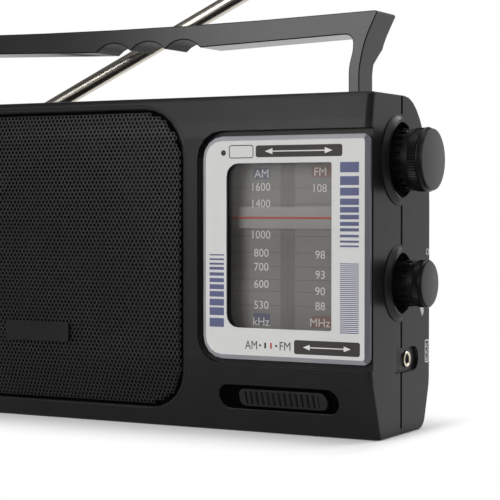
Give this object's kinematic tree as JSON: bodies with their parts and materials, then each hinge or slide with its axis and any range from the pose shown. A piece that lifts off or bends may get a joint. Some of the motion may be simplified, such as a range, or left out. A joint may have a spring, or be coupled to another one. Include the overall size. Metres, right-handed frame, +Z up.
{
  "type": "portable radio",
  "caption": "Box-shaped portable AM/FM radio with a perforated speaker grille, upright dial window, side knobs, pull-up carry handle and telescopic antenna.",
  "frame": {"origin": "centre of the flat underside that the radio stands on", "axes": "+X to the right of the dial, along the case's width; +Y from the dial to the back; +Z up, out of the underside towards the handle"},
  "size_m": [0.2231, 0.057, 0.1999],
  "materials": {
    "charcoal_plastic": "fine satin texture",
    "knob_plastic": "satin",
    "silver_panel": "silver paint, satin",
    "clear_window": "clear, polished",
    "dial_grey": "printed grey",
    "pointer_pale": "translucent grey",
    "grille_metal": "black, perforated",
    "antenna_chrome": "polished plating",
    "plated_steel": "zinc plated",
    "speaker_paper": "pressed paper",
    "ferrite": "sintered, dull",
    "board_laminate": "laminate",
    "copper_winding": "enamelled wire",
    "pale_plastic": "moulded",
    "cell_jacket": "shrink sleeve",
    "cord_white": "waxed cord"
  },
  "bodies": {
    "case": {"front_cabinet": "charcoal_plastic", "rear_cabinet": "charcoal_plastic", "speaker_grille": "grille_metal", "dial_bezel": "silver_panel", "dial_lens": "clear_window", "dial_backplate": "dial_grey", "grille_badge": "knob_plastic", "earphone_jack": "knob_plastic", "antenna_mount": "knob_plastic", "filter_capacitor": "knob_plastic", "band_switch": "pale_plastic", "tuning_capacitor": "pale_plastic", "volume_control": "pale_plastic", "ferrite_holder_left": "pale_plastic", "ferrite_holder_right": "pale_plastic", "speaker_basket": "plated_steel", "battery_contact_left": "plated_steel", "battery_contact_right": "plated_steel", "board_screw_1": "plated_steel", "board_screw_2": "plated_steel", "tuned_coil_can_1": "plated_steel", "tuned_coil_can_2": "plated_steel", "speaker_screw_1": "plated_steel", "case_screw_1": "plated_steel", "battery_cell_1": "cell_jacket", "speaker_screw_2": "plated_steel", "case_screw_2": "plated_steel", "battery_cell_2": "cell_jacket", "speaker_screw_3": "plated_steel", "case_screw_3": "plated_steel", "battery_cell_3": "cell_jacket", "speaker_screw_4": "plated_steel", "case_screw_4": "plated_steel", "battery_cell_4": "cell_jacket", "speaker_cone": "speaker_paper", "speaker_magnet": "ferrite", "ferrite_rod": "ferrite", "ferrite_coil": "copper_winding", "main_board": "board_laminate", "dial_cord": "cord_white", "antenna_pivot": "antenna_chrome"},
    "handle": {"carry_handle": "charcoal_plastic"},
    "antenna_arm": {"antenna_base": "antenna_chrome", "antenna_section_1": "antenna_chrome"},
    "antenna_2": {"antenna_section_2": "antenna_chrome"},
    "antenna_3": {"antenna_section_3": "antenna_chrome"},
    "antenna_4": {"antenna_section_4": "antenna_chrome"},
    "antenna_5": {"antenna_section_5": "antenna_chrome", "antenna_tip": "antenna_chrome"},
    "tuning": {"tuning_knob": "knob_plastic", "tuning_shaft": "plated_steel", "cord_drum": "pale_plastic"},
    "pulley_lower": {"cord_pulley_lower": "pale_plastic"},
    "pulley_upper": {"cord_pulley_upper": "pale_plastic"},
    "pointer": {"dial_pointer": "pointer_pale"},
    "volume": {"volume_knob": "knob_plastic", "volume_shaft": "plated_steel"},
    "band": {"band_switch_knob": "knob_plastic"},
    "door": {"battery_door": "charcoal_plastic"}
  },
  "joints": [
    {"name": "handle_slide", "type": "slide", "parent": "case", "child": "handle", "axis": [0, 0, 1], "range_m": [-0.02, 0]},
    {"name": "antenna_hinge", "type": "hinge", "parent": "case", "child": "antenna_arm", "pos_m": [-0.095, 0.0206, 0.1207], "axis": [0, -1, 0], "range_deg": [-24.3, 99]},
    {"name": "antenna_draw_2", "type": "slide", "parent": "antenna_arm", "child": "antenna_2", "axis": [0.9114, 0, 0.4115], "range_m": [0, 0.135]},
    {"name": "antenna_draw_3", "type": "slide", "parent": "antenna_2", "child": "antenna_3", "axis": [0.9114, 0, 0.4115], "range_m": [0, 0.135]},
    {"name": "antenna_draw_4", "type": "slide", "parent": "antenna_3", "child": "antenna_4", "axis": [0.9114, 0, 0.4115], "range_m": [0, 0.135]},
    {"name": "antenna_draw_5", "type": "slide", "parent": "antenna_4", "child": "antenna_5", "axis": [0.9114, 0, 0.4115], "range_m": [0, 0.135]},
    {"name": "tuning_turn", "type": "hinge", "parent": "case", "child": "tuning", "pos_m": [0.105, 0.0012, 0.1052], "axis": [-1, 0, 0], "range_deg": [-127, 52]},
    {"name": "pointer_slide", "type": "slide", "parent": "case", "child": "pointer", "axis": [0, 0, 1], "range_m": [-0.0316, 0.0131]},
    {"name": "pulley_lower_turn", "type": "hinge", "parent": "case", "child": "pulley_lower", "pos_m": [0.0962, -0.0104, 0.0415], "axis": [-1, 0, 0], "range_deg": [-700, 290]},
    {"name": "pulley_upper_turn", "type": "hinge", "parent": "case", "child": "pulley_upper", "pos_m": [0.0962, -0.0052, 0.082], "axis": [-1, 0, 0], "range_deg": [-290, 700]},
    {"name": "volume_turn", "type": "hinge", "parent": "case", "child": "volume", "pos_m": [0.105, 0.0012, 0.0582], "axis": [-1, 0, 0], "range_deg": [0, 300]},
    {"name": "band_slide", "type": "slide", "parent": "case", "child": "band", "axis": [1, 0, 0], "range_m": [-0.0047, 0]},
    {"name": "door_hinge", "type": "hinge", "parent": "case", "child": "door", "pos_m": [-0.036, 0.02785, 0.02165], "axis": [-1, 0, 0], "range_deg": [0, 88]}
  ],
  "couplings": [
    {"joint": "pointer_slide", "follows": "tuning_turn", "m_per_rad": 0.0142},
    {"joint": "pulley_lower_turn", "follows": "tuning_turn", "ratio": 5.4615},
    {"joint": "pulley_upper_turn", "follows": "tuning_turn", "ratio": -5.4615}
  ]
}
